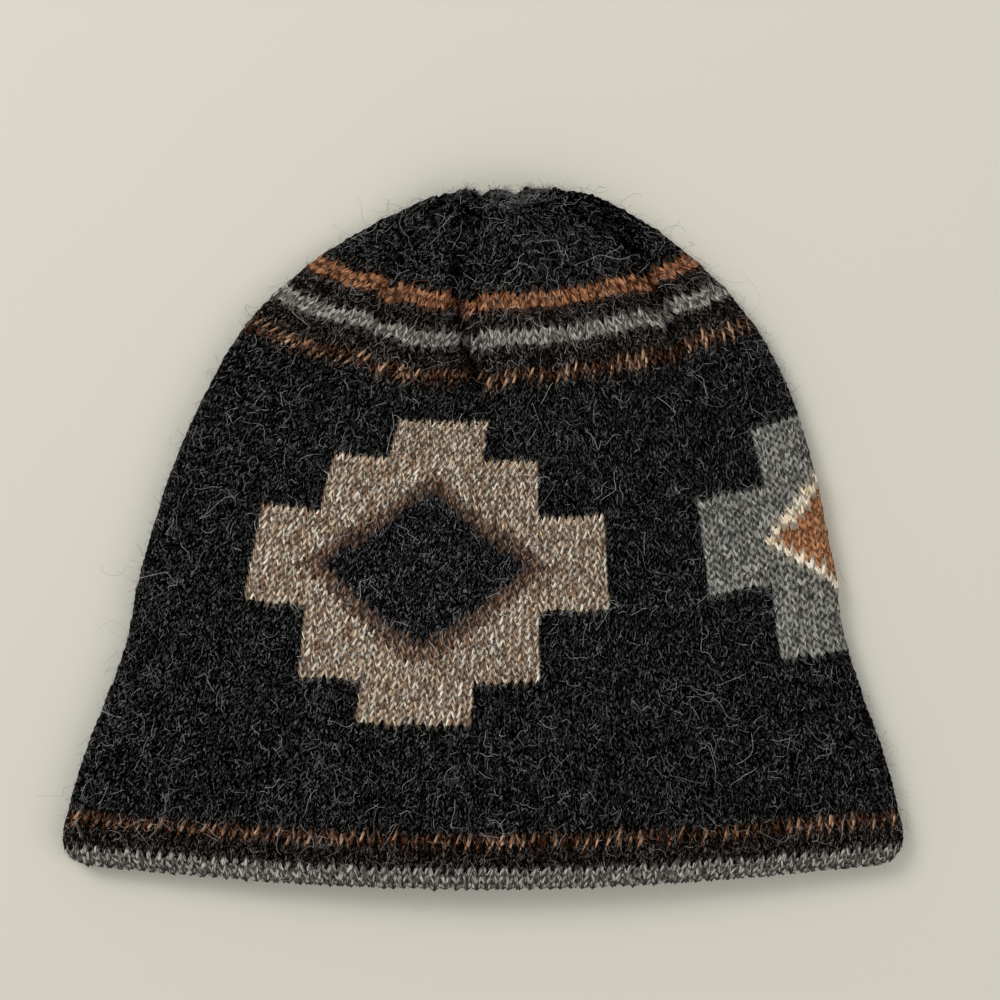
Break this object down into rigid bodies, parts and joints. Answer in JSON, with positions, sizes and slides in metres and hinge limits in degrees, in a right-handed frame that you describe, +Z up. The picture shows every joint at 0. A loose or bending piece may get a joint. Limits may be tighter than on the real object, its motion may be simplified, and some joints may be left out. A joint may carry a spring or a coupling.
{
  "type": "knitted beanie",
  "caption": "Fine knitted wool beanie lying flat, with a flared mouth, a turned hem, a rounded crown drawn into soft pleats, and a hollow inside open at the mouth.",
  "frame": {"origin": "middle of the footprint of the lying hat, on the surface that it lies on", "axes": "+X along the mouth to the wearer's side, +Y from the mouth to the crown, +Z up out of the front face"},
  "size_m": [0.2502, 0.21, 0.019],
  "materials": {
    "charcoal_wool": "fuzzy stockinette knit",
    "hem_grey_wool": "fuzzy stockinette knit"
  },
  "bodies": {
    "root": {"knit_body": "charcoal_wool", "hem_band": "hem_grey_wool"}
  },
  "joints": []
}
